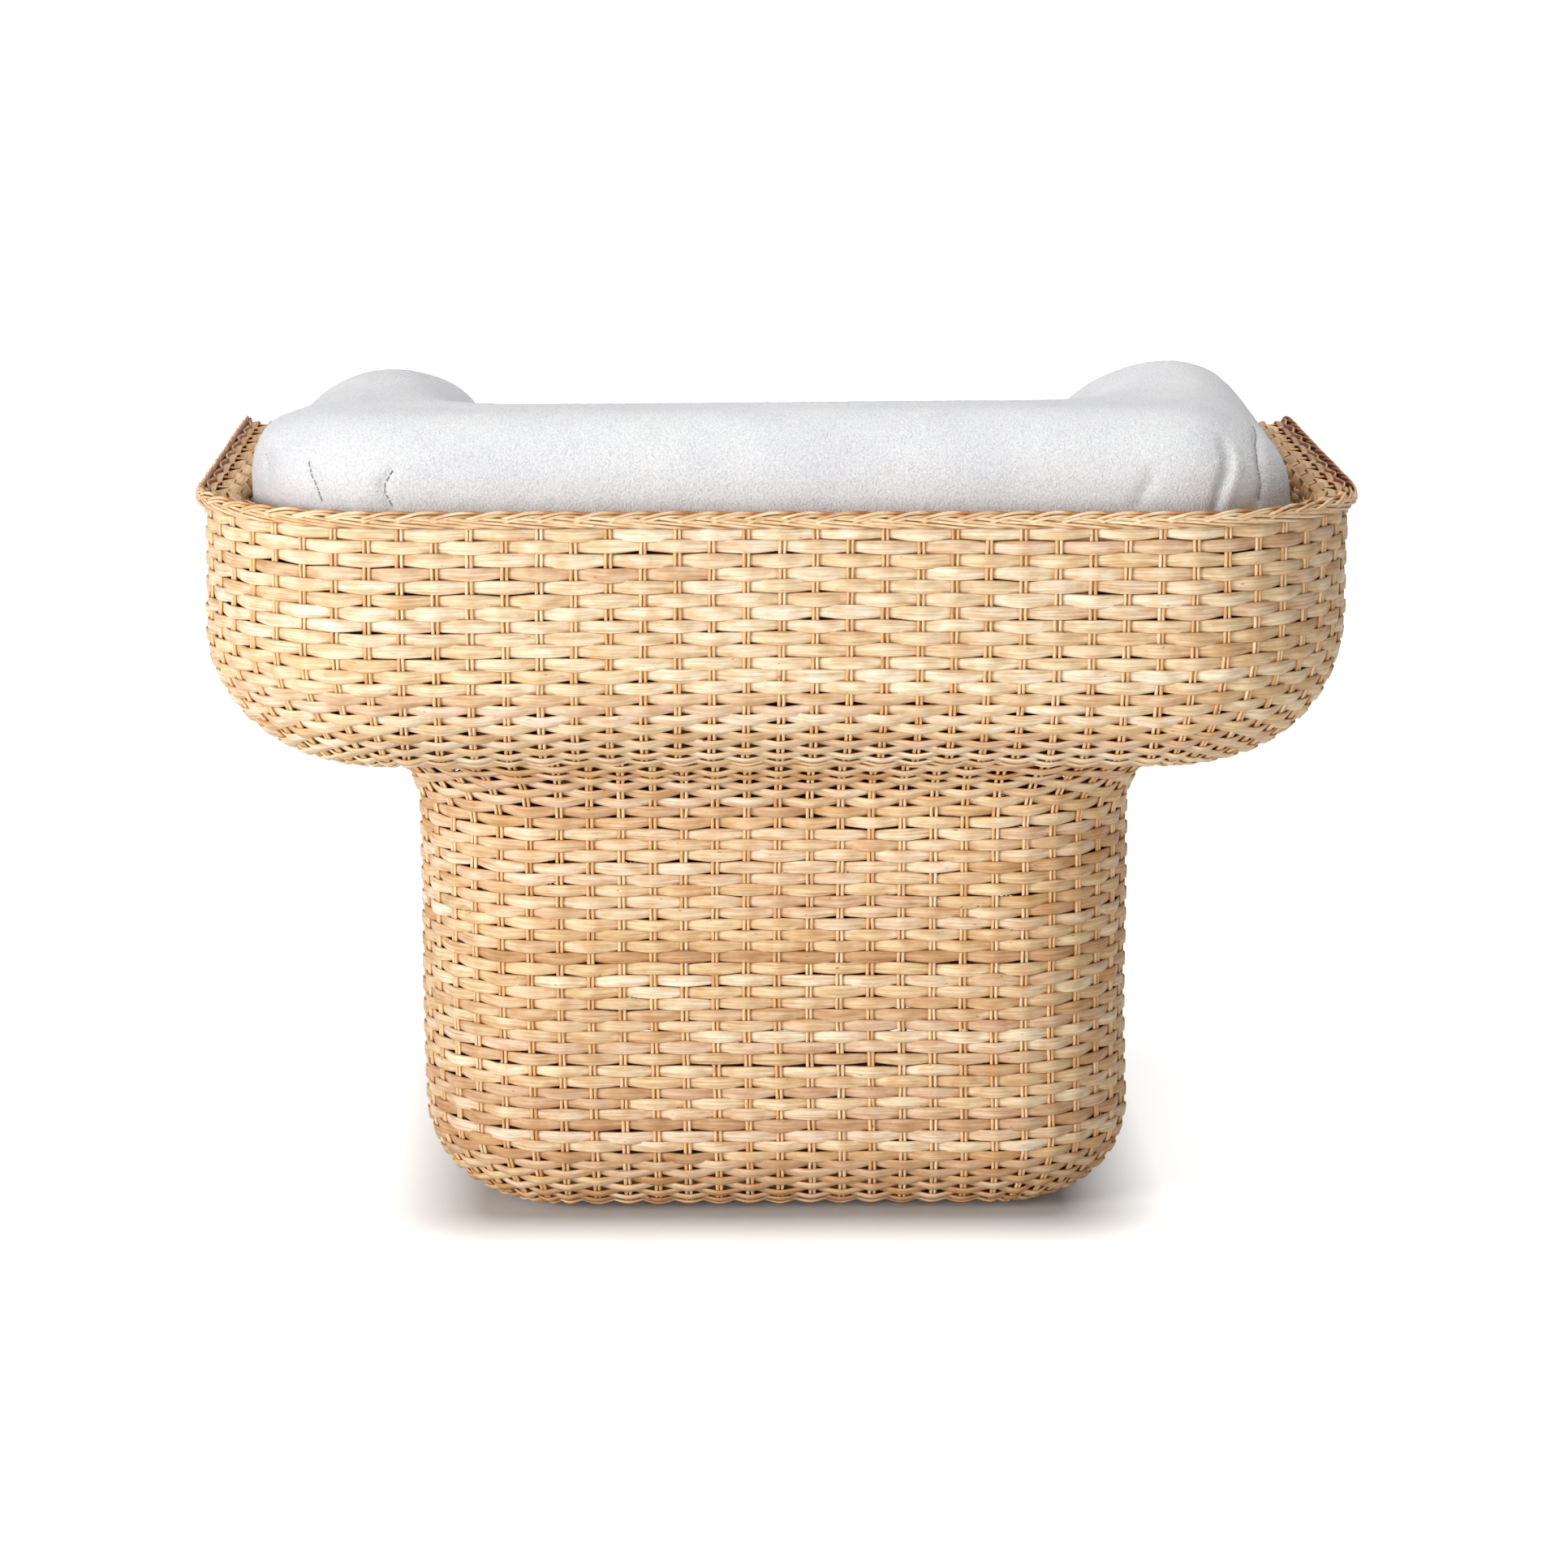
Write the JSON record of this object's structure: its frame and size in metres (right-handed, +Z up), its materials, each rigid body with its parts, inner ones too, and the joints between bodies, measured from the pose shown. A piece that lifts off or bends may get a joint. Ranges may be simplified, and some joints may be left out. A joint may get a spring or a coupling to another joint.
{
  "type": "rattan tub chair",
  "caption": "Low woven rattan tub chair: double-walled rounded basket seat on a narrower woven pedestal, with a loose seat cushion and a U-shaped boucle bolster.",
  "frame": {"origin": "on the floor, under the middle of the chair's outline seen from above", "axes": "+Z up, +Y the way the sitter faces, +X to the right of someone standing behind the chair and looking at its back"},
  "size_m": [0.928, 0.856, 0.683],
  "materials": {
    "rattan_weave": "satin",
    "rattan_rim": "satin",
    "rattan_pole": "satin",
    "boucle": "matte",
    "filling": "matte",
    "screw_steel": "satin",
    "glide_plastic": "matte"
  },
  "bodies": {
    "chair_frame": {"arm_bow_left": "rattan_pole", "arm_bow_right": "rattan_pole", "back_rib_1": "rattan_pole", "back_rib_2": "rattan_pole", "back_rib_3": "rattan_pole", "back_rib_4": "rattan_pole", "base_floor_hoop": "rattan_pole", "base_lower_hoop": "rattan_pole", "base_middle_hoop": "rattan_pole", "base_post_back_1": "rattan_pole", "base_post_back_2": "rattan_pole", "base_post_front_1": "rattan_pole", "base_post_front_2": "rattan_pole", "base_post_left_1": "rattan_pole", "base_post_left_2": "rattan_pole", "base_post_right_1": "rattan_pole", "base_post_right_2": "rattan_pole", "base_top_hoop": "rattan_pole", "base_weave": "rattan_weave", "basket_lining": "rattan_weave", "basket_weave": "rattan_weave", "front_rail": "rattan_pole", "front_rib_1": "rattan_pole", "front_rib_2": "rattan_pole", "front_rib_3": "rattan_pole", "glide_back_left": "glide_plastic", "glide_back_right": "glide_plastic", "glide_front_left": "glide_plastic", "glide_front_right": "glide_plastic", "glide_screws": "screw_steel", "left_rib_1": "rattan_pole", "left_rib_2": "rattan_pole", "left_rib_3": "rattan_pole", "post_screws": "screw_steel", "right_rib_1": "rattan_pole", "right_rib_2": "rattan_pole", "right_rib_3": "rattan_pole", "rim_braid": "rattan_rim", "rim_cap": "rattan_rim", "rim_hoop": "rattan_pole", "seat_hoop": "rattan_pole", "seat_slat_1": "rattan_pole", "seat_slat_2": "rattan_pole", "seat_slat_3": "rattan_pole", "seat_slat_4": "rattan_pole", "seat_slat_5": "rattan_pole", "seat_slat_6": "rattan_pole", "seat_slat_7": "rattan_pole"},
    "seat_cushion": {"seat_cushion_cover": "boucle", "seat_cushion_foam": "filling"},
    "bolster": {"bolster_cover": "boucle", "bolster_filling": "filling"}
  },
  "joints": [
    {"name": "seat_cushion_lift", "type": "slide", "parent": "chair_frame", "child": "seat_cushion", "axis": [0, 0, 1], "range_m": [0, 0.23]},
    {"name": "bolster_lift", "type": "slide", "parent": "seat_cushion", "child": "bolster", "axis": [0, 0, 1], "range_m": [0, 0.16]}
  ]
}
